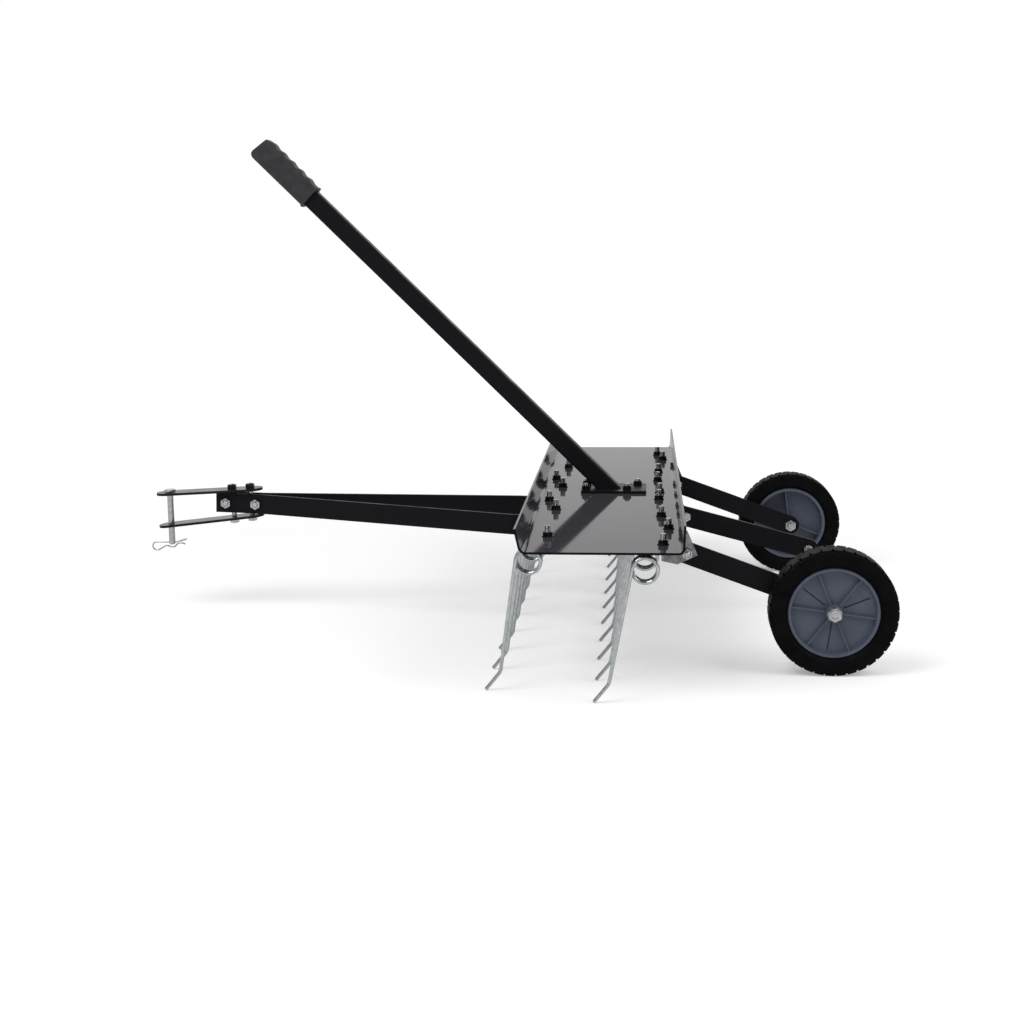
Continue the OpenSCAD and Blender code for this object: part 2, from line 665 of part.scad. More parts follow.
pivot_flats = 16;
pivot_face_y = bar_y - bar_thickness / 2 - end_play / 2;
module pivot_bolts() {
    color(zinc) placed() for (side = [-1, 1]) along_y([pivot_x, side * pivot_face_y, pivot_z, side])
        hex_bolt(pivot_d, pivot_flats, bar_thickness + end_play + bracket_sheet + 8 + 3, 5.5);
}

module pivot_nuts() {
    color(zinc) placed() for (side = [-1, 1])
        along_y([pivot_x, side * (bar_y + bar_thickness / 2 + end_play / 2 + bracket_sheet), pivot_z, side])
            hex_nut(pivot_d, pivot_flats, 8);
}

// Clevis plates: each leans from the bars, the upper about their front corner, the lower about its rear end
plate_rear = block_end - block_length;
lower_rear = plate_rear - 2;
module plate_frame(upper) {
    half = bar_height / 2;
    turn_u = upper ? block_end : lower_rear;
    translate([turn_u, 0, upper ? half : -half]) rotate([0, upper ? upper_lean : lower_lean, 0])
        translate([-turn_u, 0, upper ? seat_gap : -plate_sheet - seat_gap]) children();
}

module hitch_plate(upper) {
    half = plate_width / 2;
    rear = upper ? plate_rear : lower_rear;
    color(black) placed() drawbar_frame() difference() {
        plate_frame(upper) linear_extrude(height = plate_sheet)
            polygon(round_bar([rear + half, 0], [rear + plate_length - half, 0], half));
        pin_hole();
        for (inset = plate_bolt_inset) plate_bolt_frame(inset) translate([0, 0, -40])
            cylinder(h = 80, d = bolt_d + 2 * hole_clearance);
    }
}

module pin_hole() {
    translate([drawbar_reach, 0, 0]) rotate([0, drawbar_rise, 0]) translate([0, 0, -60])
        cylinder(h = 120, d = pin_d + 2.5);
}

module hitch_cross_bolts() {
    color(zinc) placed() drawbar_frame() for (inset = cross_bolt_inset)
        along_y([block_end - inset, hitch_y + bar_thickness / 2, 0, -1])
            hex_bolt(bolt_d, cross_flats, 2 * hitch_y + bar_thickness + nut_height + 2, head_height);
}

module hitch_cross_nuts() {
    color(zinc) placed() drawbar_frame() for (inset = cross_bolt_inset)
        along_y([block_end - inset, -hitch_y - bar_thickness / 2, 0, -1])
            hex_nut(bolt_d, cross_flats, nut_height);
}

// Frame of a bolt through both plates: it leans about the middle of the bars
module plate_bolt_frame(inset) {
    translate([block_end - inset, 0, 0]) rotate([0, plate_bolt_lean, 0]) children();
}

// Distance along such a bolt to a plate's outer face, with room for the corners of its head or nut
function seat_room(lean) = bolt_flats / 2 / cos(30) * tan(abs(lean - plate_bolt_lean)) + seat_gap / 4;
function seat_along(inset, turn_u, way, lean) = (seat_gap + plate_sheet + bar_height / 2 * cos(lean)
    + way * (turn_u - block_end + inset) * sin(lean)) / cos(lean - plate_bolt_lean) + seat_room(lean);
function upper_seat(inset) = seat_along(inset, block_end, 1, upper_lean);
function lower_seat(inset) = -seat_along(inset, lower_rear, -1, lower_lean);

module hitch_plate_bolts() {
    color(zinc) placed() drawbar_frame() for (inset = plate_bolt_inset) plate_bolt_frame(inset)
        translate([0, 0, lower_seat(inset)]) hex_bolt(bolt_d, bolt_flats,
            upper_seat(inset) - lower_seat(inset) + nut_height + 1, head_height);
}

module hitch_plate_nuts() {
    color(black) placed() drawbar_frame() for (inset = plate_bolt_inset) plate_bolt_frame(inset)
        translate([0, 0, upper_seat(inset)]) hex_nut(bolt_d, bolt_flats, nut_height);
}

// Height of the upper plate's outer face above the bars' middle
function upper_face(u) = bar_height / 2 + (seat_gap + plate_sheet) / cos(upper_lean)
    - (u - block_end) * tan(upper_lean);

// Hitch pin: stands upright in both plates, its head rests on the upper one
pin_head_r = 9;
pin_head = 3.5;
pin_seat_u = drawbar_reach - pin_head_r;
pin_seat_z = pivot_z + pin_seat_u * sin(drawbar_rise)
    + (upper_face(pin_seat_u) + seat_gap) * cos(drawbar_rise);
clip_drop = pin_length - 3.5;

module hitch_pin() {
    color(zinc) placed() difference() {
        translate([pin_x, 0, pin_seat_z]) {
            cylinder(h = pin_head, r = pin_head_r);
            translate([0, 0, -pin_length + 2]) cylinder(h = pin_length, d = pin_d);
            translate([0, 0, -pin_length]) cylinder(h = 2.01, d1 = pin_d - 3, d2 = pin_d);
        }
        translate([pin_x - 10, 0, pin_seat_z - clip_drop]) rotate([0, 90, 0])
            cylinder(h = 20, d = clip_wire_d + 0.4);
    }
}

// Spring clip: a leg through the pin, a round loop and a waved leg under the pin's end
module hitch_clip() {
    loop_r = 6.5;
    loop_x = loop_r - clip_reach;
    loop = [for (a = [20 : 20 : 160]) [loop_x - loop_r * sin(a), 0, loop_r * (cos(a) - 1)]];
    leg = [[24.3, 5.2], [12, 1.6], [5.5, 0.1], [-6, 0], [loop_x + 2, 0]];
    wave = [[loop_x + 3, -12.9], [-10.5, -5.4], [-4, -7.4], [3.5, -7.9], [9, -2.6], [13, -1.4], [17, -1.3],
        [21.3, -3.3]];
    color(zinc) placed() translate([pin_x, 0, pin_seat_z - clip_drop])
        wire(concat([for (p = leg) [p[0], 0, p[1]]], loop, [for (p = wave) [p[0], 0, p[1]]]),
            clip_wire_d / 2, [0, 1, 0]);
}

// Handle: a foot bolted to the deck, a square tube cut level at its foot, and a grip
handle_x = -3;
foot_x = 5;
foot_top = deck_height + foot_sheet;
function foot_bolt_places() = [
    [foot_x - foot_length / 2 + 8, -foot_width / 2 + 15], [foot_x - foot_length / 2 + 8, foot_width / 2 - 15],
    [foot_x + foot_length / 2 - 13.5, foot_width / 2 - 15],
    [foot_x + foot_length / 2 - 30, -foot_width / 2 + 15]];

module handle_foot() {
    r = 4;
    color(black) placed() difference() {
        translate([foot_x, 0, deck_height]) linear_extrude(height = foot_sheet)
            polygon(round_rectangle(foot_length, foot_width, r));
        for (p = foot_bolt_places()) bolt_hole([p[0], p[1], deck_under]);
    }
}

// Low heads under the deck leave room for the coil that passes below one of them
foot_head = head_height * 0.6;
module handle_bolts() {
    color(zinc) placed() for (p = foot_bolt_places()) translate([p[0], p[1], deck_under])
        hex_bolt(bolt_d, bolt_flats, deck_sheet + foot_sheet + nut_height + 3, foot_head);
}

module handle_nuts() {
    color(zinc) placed() for (p = foot_bolt_places()) translate([p[0], p[1], foot_top])
        hex_nut(bolt_d, bolt_flats, nut_height);
}

// The handle's own frame: z runs up the tube, x is its upper side, away from the hitch
module handle_frame() {
    translate([handle_x, 0, foot_top]) rotate([0, -handle_lean, 0]) children();
}

module handle_tube() {
    inner = tube_side - 2 * tube_wall;
    color(black) placed() difference() {
        handle_frame() translate([0, 0, -tube_side]) linear_extrude(height = handle_length + tube_side - 4)
            difference() {
                polygon(round_rectangle(tube_side, tube_side, 4));
                polygon(round_rectangle(inner, inner, 4 - tube_wall));
            }
        translate([-200, -100, foot_top - 100]) cube([400, 200, 100]);
    }
}

// Moulded grip: finger waves on its upper side, a slanted end and a thin guard collar
grip_wall = 3.7;
module grip_side() {
    upper = tube_side / 2 + grip_wall;
    waves = 5;
    first = 8;
    polygon(concat([[0, -upper], [0, upper]],
        [for (k = [0 : 40]) let (t = k / 40)
            [first + t * (grip_length - first - 4), upper + 1.2 * (1 - cos(360 * waves * t)) + 1.5 * t]],
        [[grip_length, upper + 0.5], [grip_length + 4, 9 - upper]],
        [for (k = [0 : 4]) [grip_length - 4 + 8 * cos(22.5 * k), 8 - upper - 8 * sin(22.5 * k)]]));
}

module handle_grip() {
    wide = tube_side + 2 * grip_wall - 1;
    guard = tube_side + 11;
    bore = tube_side + 2 * seat_gap;
    color(rubber) placed() handle_frame() translate([0, 0, handle_length - grip_length]) difference() {
        union() {
            intersection() {
                rotate([90, -90, 0]) translate([0, 0, -wide / 2]) linear_extrude(height = wide)
                    mirror([0, 1]) grip_side();
                translate([1.5, 0, -1]) linear_extrude(height = grip_length + 10)
                    polygon(round_rectangle(tube_side + 12, wide, 9));
            }
            translate([0, 0, -2.5]) linear_extrude(height = 2.5) polygon(round_rectangle(guard, guard, 8));
        }
        translate([0, 0, -5]) linear_extrude(height = grip_length + 1)
            polygon(round_rectangle(bore, bore, 4 + seat_gap));
    }
}

deck();
for (i = [1 : tine_count]) tine(1, i);
for (i = [1 : tine_count]) tine(-1, i);
tine_clips(1);  // tine_clips_rear
tine_clips(-1);  // tine_clips_front
tine_bolts(1);  // tine_bolts_rear
tine_bolts(-1);  // tine_bolts_front
tine_nuts(1);  // tine_nuts_rear
tine_nuts(-1);  // tine_nuts_front
arm(-1);  // arm_left
arm(1);  // arm_right
arm_centre();
arm_bracket(-1);  // arm_bracket_left
arm_bracket(1);  // arm_bracket_right
arm_bracket_centre();
bracket_bolts();
bracket_nuts();
arm_bolts();
arm_nuts();
centre_end_bolt();
centre_end_nut();
axle_bolt(-1);  // axle_bolt_left
axle_bolt(1);  // axle_bolt_right
axle_nuts();
axle_spacers();
axle_washers();
drawbar_bracket(-1);  // drawbar_bracket_left
drawbar_bracket(1);  // drawbar_bracket_right
pivot_bolts();
pivot_nuts();
handle_foot();
handle_tube();
handle_grip();
handle_bolts();
handle_nuts();
rim(-1);  // rim_left
tyre(-1);  // tyre_left
rim(1);  // rim_right
tyre(1);  // tyre_right
drawbar(-1);  // drawbar_left
drawbar(1);  // drawbar_right
hitch_plate(true);  // hitch_plate_upper
hitch_plate(false);  // hitch_plate_lower
hitch_cross_bolts();
hitch_cross_nuts();
hitch_plate_bolts();
hitch_plate_nuts();
hitch_pin();
hitch_clip();
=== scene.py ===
"""Looks of the tow-behind lawn tool: glossy black steel, zinc spring tines, moulded wheels and a soft grip.

Lengths are in metres, in the frame of the CAD model: +X backwards, +Y to the right, +Z up, ground at Z = 0.
"""
import json
import math

import bmesh
import bpy
import numpy as np
from mathutils import Matrix, Vector


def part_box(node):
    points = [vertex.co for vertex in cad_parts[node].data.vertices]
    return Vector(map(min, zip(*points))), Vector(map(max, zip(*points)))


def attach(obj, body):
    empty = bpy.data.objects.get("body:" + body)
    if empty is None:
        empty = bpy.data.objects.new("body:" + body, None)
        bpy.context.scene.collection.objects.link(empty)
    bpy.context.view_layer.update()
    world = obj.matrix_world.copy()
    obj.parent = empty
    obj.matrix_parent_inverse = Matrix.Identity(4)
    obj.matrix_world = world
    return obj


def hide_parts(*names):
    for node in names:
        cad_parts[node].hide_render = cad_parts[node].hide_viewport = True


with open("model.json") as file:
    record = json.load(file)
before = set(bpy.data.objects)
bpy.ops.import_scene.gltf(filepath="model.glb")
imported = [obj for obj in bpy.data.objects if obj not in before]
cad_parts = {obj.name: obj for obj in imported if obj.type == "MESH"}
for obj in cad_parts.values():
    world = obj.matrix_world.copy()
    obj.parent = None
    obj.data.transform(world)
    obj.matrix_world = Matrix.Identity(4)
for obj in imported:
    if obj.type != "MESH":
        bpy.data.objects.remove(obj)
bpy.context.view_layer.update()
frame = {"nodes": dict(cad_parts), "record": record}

MM = 0.001
# Corners of the CAD model closer than this are one
WELD = 0.01 * MM
NODES = frame["nodes"]


def box_middle(node):
    low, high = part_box(node)
    return (low + high) / 2


# Places that the frame gives
AXLE_LEFT = box_middle("tyre_left")
AXLE_RIGHT = box_middle("tyre_right")
DECK_SHEET = 3 * MM
DECK_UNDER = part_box("handle_foot")[0].z - DECK_SHEET

# Range of a noise's usual values, and the rays that a rounded edge is found with
NOISE_LOW = 0.3
NOISE_HIGH = 0.7
BEVEL_SAMPLES = 4
# Depth of the grain on smooth and on soft surfaces
FINE_GRAIN = 0.05 * MM
SOFT_GRAIN = 0.12 * MM
# Share of a face's direction along Y from which it starts to count as a cut end, and from which it is one;
# cut ends get a darker colour as painted shade
END_FROM = 0.8
END_TO = 0.95


def tuned(node, **values):
    """Sets inputs of a shader node by their names."""
    for name, value in values.items():
        node.inputs[name.replace("_", " ")].default_value = value
    return node


class Shader:
    """A material under construction: its node tree, its links and its Principled shader."""

    def __init__(self, name, color, roughness, metallic=0.0, ior=1.5):
        self.material = bpy.data.materials.new(name)
        self.material.use_nodes = True
        self.tree = self.material.node_tree
        self.principled = self.tree.nodes["Principled BSDF"]
        tuned(self.principled, Base_Color=(*color, 1), Roughness=roughness, Metallic=metallic, IOR=ior)
        self.place = self.tree.nodes.new("ShaderNodeTexCoord").outputs["Object"]
        self.height = None

    def node(self, kind, **inputs):
        return tuned(self.tree.nodes.new(kind), **inputs)

    def link(self, source, target):
        self.tree.links.new(source, target)

    def noise(self, scale, detail):
        """Noise in metres of the object's own space."""
        noise = self.node("ShaderNodeTexNoise", Scale=scale, Detail=detail)
        self.link(self.place, noise.inputs["Vector"])
        return noise.outputs["Fac"]

    def spread(self, source, low, high):
        """Maps a noise's usual values to the range from low to high."""
        ranged = self.node("ShaderNodeMapRange", From_Min=NOISE_LOW, From_Max=NOISE_HIGH,
                           To_Min=low, To_Max=high)
        self.link(source, ranged.inputs["Value"])
        return ranged.outputs["Result"]

    def vary_roughness(self, source, low, high):
        self.link(self.spread(source, low, high), self.principled.inputs["Roughness"])

    def vary_color(self, source, first, second):
        mix = self.node("ShaderNodeMixRGB", Color1=(*first, 1), Color2=(*second, 1))
        self.link(self.spread(source, 0, 1), mix.inputs["Fac"])
        self.link(mix.outputs["Color"], self.principled.inputs["Base Color"])

    def paint_shade_on_ends(self, faces, ends):
        """Paints shade on the cut ends of a sheet, which look along its length in Y, as the colour ends."""
        split = self.node("ShaderNodeSeparateXYZ")
        self.link(self.node("ShaderNodeTexCoord").outputs["Normal"], split.inputs["Vector"])
        along = self.node("ShaderNodeMath")
        along.operation = "ABSOLUTE"
        self.link(split.outputs["Y"], along.inputs[0])
        ranged = self.node("ShaderNodeMapRange", From_Min=END_FROM, From_Max=END_TO)
        self.link(along.outputs["Value"], ranged.inputs["Value"])
        mix = self.node("ShaderNodeMixRGB", Color1=(*faces, 1), Color2=(*ends, 1))
        self.link(ranged.outputs["Result"], mix.inputs["Fac"])
        self.link(mix.outputs["Color"], self.principled.inputs["Base Color"])

    def bump(self, source, strength, distance):
        """Adds a bump on top of those that the material has already."""
        bump = self.node("ShaderNodeBump", Strength=strength, Distance=distance)
        self.link(source, bump.inputs["Height"])
        if self.height is not None:
            self.link(self.height, bump.inputs["Normal"])
        self.height = bump.outputs["Normal"]
        self.link(self.height, self.principled.inputs["Normal"])

    def round_edges(self, radius):
        """Shades sharp edges as if they were rounded."""
        bevel = self.node("ShaderNodeBevel", Radius=radius)
        bevel.samples = BEVEL_SAMPLES
        self.height = bevel.outputs["Normal"]
        self.link(self.height, self.principled.inputs["Normal"])


def powder_coat(name, color, roughness, ior, ends=None):
    """Smooth black coat, whose faces mirror what is beyond them only at a flat angle."""
    shader = Shader(name, color, roughness, ior=ior)
    # ends: the colour of painted shade on the sheet's cut ends
    if ends:
        shader.paint_shade_on_ends(color, ends)
    shader.round_edges(0.6 * MM)
    shader.vary_roughness(shader.noise(35, 4), roughness * 0.8, roughness * 1.25)
    shader.bump(shader.noise(700, 2), 0.04, FINE_GRAIN)
    return shader.material


def zinc(name, dark, light, roughness, edge):
    """Zinc plating in spots of two shades, with its edges rounded by edge, or left sharp on a round wire."""
    shader = Shader(name, light, roughness, metallic=1.0)
    if edge:
        shader.round_edges(edge)
    shader.vary_color(shader.noise(160, 4), dark, light)
    shader.vary_roughness(shader.noise(90, 3), roughness * 0.8, roughness * 1.3)
    shader.bump(shader.noise(1500, 2), 0.04, FINE_GRAIN)
    return shader.material


def black_oxide(name):
    """Thin dark coat on the nuts."""
    shader = Shader(name, (0.02, 0.02, 0.022), 0.3, metallic=0.6)
    shader.round_edges(0.3 * MM)
    shader.vary_color(shader.noise(300, 3), (0.008, 0.008, 0.009), (0.022, 0.022, 0.024))
    shader.vary_roughness(shader.noise(400, 2), 0.2, 0.4)
    return shader.material


def rim_plastic(name):
    """Satin moulded plastic."""
    shader = Shader(name, (0.1, 0.118, 0.165), 0.42, ior=1.45)
    shader.round_edges(0.7 * MM)
    shader.vary_color(shader.noise(28, 3), (0.066, 0.08, 0.116), (0.086, 0.102, 0.142))
    shader.vary_roughness(shader.noise(60, 3), 0.36, 0.5)
    shader.bump(shader.noise(1800, 2), 0.08, FINE_GRAIN)
    return shader.material


def tyre_rubber(name):
    """Matt solid rubber."""
    shader = Shader(name, (0.003, 0.003, 0.003), 0.6, ior=1.14)
    shader.round_edges(0.8 * MM)
    shader.vary_color(shader.noise(45, 4), (0.0015, 0.0015, 0.0018), (0.004, 0.004, 0.005))
    shader.vary_roughness(shader.noise(120, 4), 0.45, 0.65)
    shader.bump(shader.noise(900, 3), 0.15, SOFT_GRAIN)
    return shader.material


def grip_plastic(name):
    """Soft plastic with a fine grain."""
    shader = Shader(name, (0.03, 0.03, 0.032), 0.55, ior=1.4)
    shader.round_edges(0.8 * MM)
    shader.vary_color(shader.noise(80, 3), (0.022, 0.0225, 0.0245), (0.036, 0.037, 0.04))
    shader.bump(shader.noise(1400, 3), 0.35, SOFT_GRAIN)
    return shader.material


MATERIALS = {
    # The deck's cut ends, which face along Y, get a near-black colour as painted shade
    "painted_deck": powder_coat("deck_paint", (0.045, 0.0445, 0.0525), 0.055, 1.145,
                                ends=(0.004, 0.004, 0.005)),
    "painted_bars": powder_coat("bar_paint", (0.009, 0.009, 0.0105), 0.34, 1.14),
    "zinc_wire": zinc("zinc_wire", (0.4, 0.425, 0.435), (0.58, 0.61, 0.62), 0.16, 0),
    "zinc_steel": zinc("zinc_steel", (0.4, 0.41, 0.42), (0.56, 0.57, 0.58), 0.2, 0.3 * MM),
    "dark_nuts": black_oxide("black_oxide"),
    "rim": rim_plastic("rim_plastic"),
    "tyre": tyre_rubber("tyre_rubber"),
    "grip": grip_plastic("grip_plastic"),
}


def dress_nodes():
    """Gives every CAD node its slot's material, apart from a few whose finish differs in the photograph. The
    arm brackets get rougher zinc whose darker colour is painted shade.
    """
    # Darker zinc on the arm brackets: painted shade for the dark surroundings that the metal mirrors; its
    # higher roughness is real
    dull_zinc_with_painted_shade = zinc("zinc_sheet_painted_shade", (0.12, 0.125, 0.13), (0.3, 0.31, 0.32), 0.3, 0.3 * MM)
    glossy = powder_coat("plate_paint", (0.008, 0.008, 0.0095), 0.2, 1.22)
    dark = MATERIALS["dark_nuts"]
    own = {
        "arm_bracket_left": dull_zinc_with_painted_shade, "arm_bracket_right": dull_zinc_with_painted_shade, "arm_bracket_centre": dull_zinc_with_painted_shade,
        "hitch_plate_upper": glossy, "hitch_plate_lower": glossy,
        "tine_nuts_front": dark, "tine_nuts_rear": dark, "handle_nuts": dark,
    }
    for part in frame["record"]["subparts"]:
        mesh = NODES[part["node"]].data
        mesh.materials.clear()
        mesh.materials.append(own.get(part["node"], MATERIALS[part["material_slot"]]))


def body_of(node):
    bodies = frame["record"]["behaviour"]["bodies"]
    return next(body for body, nodes in bodies.items() if node in nodes)


# Angles in degrees below which an edge is shaded smooth
WIRE_SMOOTH = 35
FASTENER_SMOOTH = 20
RIM_SMOOTH = 25


def mesh_from(name, vertices, faces, smooth_angle):
    """A mesh whose edges under smooth_angle degrees are shaded smooth."""
    mesh = bpy.data.meshes.new(name)
    mesh.from_pydata([tuple(v) for v in vertices], [], faces)
    form = bmesh.new()
    form.from_mesh(mesh)
    bmesh.ops.recalc_face_normals(form, faces=form.faces)
    for face in form.faces:
        face.smooth = True
    for edge in form.edges:
        edge.smooth = len(edge.link_faces) == 2 and edge.calc_face_angle(0) < math.radians(smooth_angle)
    form.to_mesh(mesh)
    form.free()
    return mesh


def piece(name, mesh, node, matrix=None, replaces=True):
    """A piece of the scene that rides with a CAD node's body, takes its finish and may stand for it."""
    thing = bpy.data.objects.new(name, mesh)
    bpy.context.scene.collection.objects.link(thing)
    if matrix is not None:
        thing.matrix_world = matrix
    if not mesh.materials:
        mesh.materials.append(NODES[node].data.materials[0])
    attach(thing, body_of(node))
    if replaces:
        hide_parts(node)
    return thing


# Sides of a wire's section, and the chamfer of its ends as a share of its radius
WIRE_SIDES = 12
WIRE_CHAMFER = 0.35


def tube(name, points, radius):
    """A round wire along points, with its two ends chamfered."""
    count = len(points)
    tangents = [(points[min(i + 1, count - 1)] - points[max(i - 1, 0)]).normalized() for i in range(count)]
    side = Vector((0, 1, 0)) if abs(tangents[0].y) < 0.9 else Vector((1, 0, 0))
    rings = []
    for point, tangent in zip(points, tangents):
        side = (side - tangent * side.dot(tangent)).normalized()
        rings.append((point, side.copy(), tangent.cross(side)))
    vertices = []

    def add_ring(ring, size, shift):
        centre, first, second = ring
        for k in range(WIRE_SIDES):
            angle = 2 * math.pi * k / WIRE_SIDES
            vertices.append(centre + shift + size * (first * math.cos(angle) + second * math.sin(angle)))

    chamfer = radius * WIRE_CHAMFER
    add_ring(rings[0], radius - chamfer, Vector())
    add_ring(rings[0], radius, tangents[0] * chamfer)
    for ring in rings[1:-1]:
        add_ring(ring, radius, Vector())
    add_ring(rings[-1], radius, -tangents[-1] * chamfer)
    add_ring(rings[-1], radius - chamfer, Vector())
    starts = range(0, len(vertices), WIRE_SIDES)
    faces = []
    for low, high in zip(starts, starts[1:]):
        for k in range(WIRE_SIDES):
            after = (k + 1) % WIRE_SIDES
            faces.append((low + k, low + after, high + after, high + k))
    faces.append(tuple(range(WIRE_SIDES)))
    faces.append(tuple(starts[-1] + k for k in range(WIRE_SIDES)))
    return mesh_from(name, vertices, faces, WIRE_SMOOTH)


def arc_corner(before, corner, after, radius, steps):
    """Points of an arc of that radius that rounds a corner."""
    u = (before - corner).normalized()
    v = (after - corner).normalized()
    opening = u.angle(v)
    centre = corner + (u + v).normalized() * radius / math.sin(opening / 2)
    start = corner + u * radius / math.tan(opening / 2) - centre
    end = corner + v * radius / math.tan(opening / 2) - centre
    sweep = math.pi - opening
    points = []
    for k in range(steps + 1):
        blend = start * math.sin(sweep * (1 - k / steps)) + end * math.sin(sweep * k / steps)
        points.append(centre + blend / math.sin(sweep))
    return points


# Spring tines, from the CAD model's sizes, in coordinates whose origin is a tine bolt's place under the deck
WIRE_R = 2.5 * MM
COIL_R = 16.6 * MM
COIL_SETBACK = 23.5 * MM
BAR_SETBACK = 13 * MM
BAR_GAP = 0.2 * MM
BAR_BEND_R = 5 * MM
COIL_EXIT = math.radians(9)
TURN_STEP = 5.7 * MM
COIL_TURNS = 3
TIP_BEND_Z = 26 * MM
TIP_LEAN = math.radians(39)
TIP_BEND_R = 14 * MM
BEND_STEPS = 8
LEG_RINGS = (0.35, 0.6, 0.85)
ROW_RAKE = {"rear": math.radians(11), "front": math.radians(8)}
RINGS_PER_TURN = 28
TINES_IN_ROW = 5


def half_tine(rake, leg_y):
    """From a tine's tip up its leg, round its coil and along to the middle of its crossbar."""
    bar_z = -(WIRE_R + BAR_GAP)
    bar_reach = COIL_SETBACK - BAR_SETBACK + COIL_R * math.sin(COIL_EXIT)
    coil_z = bar_z - bar_reach * math.tan(COIL_EXIT) - COIL_R * math.cos(COIL_EXIT)
    top = Vector((-COIL_SETBACK - COIL_R * math.cos(rake), leg_y, coil_z + COIL_R * math.sin(rake)))
    bend_z = TIP_BEND_Z - DECK_UNDER
    bend = Vector((top.x - (top.z - bend_z) * math.tan(rake), leg_y, bend_z))
    tip_z = WIRE_R * math.sin(TIP_LEAN) - DECK_UNDER
    tip = Vector((bend.x - (bend_z - tip_z) * math.tan(TIP_LEAN), leg_y, tip_z))
    sweep = 2 * math.pi * COIL_TURNS + math.pi / 2 - rake - COIL_EXIT
    rings = round(sweep * RINGS_PER_TURN / (2 * math.pi))
    coil = []
    for i in range(rings + 1):
        turn = sweep * i / rings
        angle = math.pi - rake - turn
        coil.append(Vector((COIL_R * math.cos(angle) - COIL_SETBACK, leg_y - TURN_STEP * turn / (2 * math.pi),
                            COIL_R * math.sin(angle) + coil_z)))
    inner_y = coil[-1].y
    leg = [bend.lerp(top, t) for t in LEG_RINGS]
    bar_end = Vector((-BAR_SETBACK, inner_y, bar_z))
    bar_middle = Vector((-BAR_SETBACK, 0, bar_z))
    return ([tip] + arc_corner(tip, bend, top, TIP_BEND_R, BEND_STEPS) + leg + coil
            + arc_corner(coil[-1], bar_end, bar_middle, BAR_BEND_R, BEND_STEPS))


def make_tines():
    """Ten double spring tines that stand for the CAD model's coarser ones."""
    for row, rake in ROW_RAKE.items():
        low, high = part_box(f"tine_{row}_1")
        leg_y = (high.y - low.y) / 2 - WIRE_R
        half = half_tine(rake, leg_y)
        whole = half + [Vector((p.x, -p.y, p.z)) for p in reversed(half)]
        mesh = tube(f"tine_wire_{row}", whole, WIRE_R)
        reach = max(p.x for p in whole) + WIRE_R
        for i in range(1, TINES_IN_ROW + 1):
            node = f"tine_{row}_{i}"
            low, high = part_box(node)
            place = Vector((high.x - reach, (low.y + high.y) / 2, DECK_UNDER))
            piece(f"spring_tine_{row}_{i}", mesh, node, Matrix.Translation(place))


# Spring clip under the hitch pin: its wire's radius and its height above the pin's lower end
CLIP_R = 1.2 * MM
CLIP_UP = 3.5 * MM
# X and Z of its route in mm, from where it crosses the pin: the leg in the pin, the loop and the waved leg
CLIP_LOOP_R = 6.5
CLIP_LOOP_X = -26
CLIP_LOOP_ANGLES = range(20, 161, 20)
CLIP_LEG = [(24.3, 5.2), (18, 3.3), (12, 1.6), (5.5, 0.1), (0, 0), (-6, 0), (-15, 0), (CLIP_LOOP_X + 2, 0)]
CLIP_WAVE = [(CLIP_LOOP_X + 3, -12.9), (-16, -9), (-10.5, -5.9), (-7, -6), (-3, -7.6), (3, -7.8), (6.5, -5),
             (9, -2.6), (13, -1.5), (17, -1.5), (21.3, -3.3)]
ROUTE_STEPS = 5


def through(points, steps):
    """A smooth curve through all the points."""
    curve = []
    for i in range(len(points) - 1):
        before, start, end, after = (points[max(i - 1, 0)], points[i], points[i + 1],
                                     points[min(i + 2, len(points) - 1)])
        for k in range(steps):
            t = k / steps
            square = (2 * before - 5 * start + 4 * end - after) * t ** 2
            cube = (3 * start - before - 3 * end + after) * t ** 3
            curve.append(0.5 * (2 * start + (end - before) * t + square + cube))
    return curve + [points[-1]]


def make_clip():
    """The spring clip, as one smooth wire."""
    loop = [(CLIP_LOOP_X - CLIP_LOOP_R * math.sin(angle), CLIP_LOOP_R * (math.cos(angle) - 1))
            for angle in map(math.radians, CLIP_LOOP_ANGLES)]
    low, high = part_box("hitch_pin")
    place = Vector(((low.x + high.x) / 2, 0, low.z + CLIP_UP))
    route = [Vector((x, 0, z)) * MM for x, z in CLIP_LEG + loop + CLIP_WAVE]
    piece("spring_clip", tube("spring_clip", through(route, ROUTE_STEPS), CLIP_R), "hitch_clip",
          Matrix.Translation(place))


# Bolts with the nuts on them and the thread that stands out of each nut, in mm, or None to measure it
FASTENERS = {
    "tine_bolts_front": ("tine_nuts_front", None),
    "tine_bolts_rear": ("tine_nuts_rear", None),
    "bracket_bolts": ("bracket_nuts", None),
    "arm_bolts": ("arm_nuts", 3),
    "centre_end_bolt": ("centre_end_nut", 6),
    "axle_bolt_left": ("axle_nuts", 4),
    "axle_bolt_right": ("axle_nuts", 4),
    "pivot_bolts": ("pivot_nuts", 3),
    "handle_bolts": ("handle_nuts", 3),
    "hitch_cross_bolts": ("hitch_cross_nuts", 2),
    "hitch_plate_bolts": ("hitch_plate_nuts", 1),
}
THREAD_PITCH = 1.25 * MM
THREAD_CREST = 0.2 * MM
THREAD_ROOT = 0.3 * MM
LATHE_SIDES = 24
# Share of a bolt's widest radius beyond which a corner is the head's
HEAD_SHARE = 0.8
# How near a bolt's tip a corner is to measure the shank with
TIP_DEPTH = 0.1 * MM
# Radius of a hexagon's flats as a share of its corners', and of a chamfered ring as a share of the flats'
FLATS = math.cos(math.radians(30))
RING = 0.97
# How far a chamfered ring reaches into its head or nut
SUNK = 0.2 * MM


def corner_key(corner):
    """The same for all corners at one place."""
    return tuple(round(c / WELD) for c in corner)


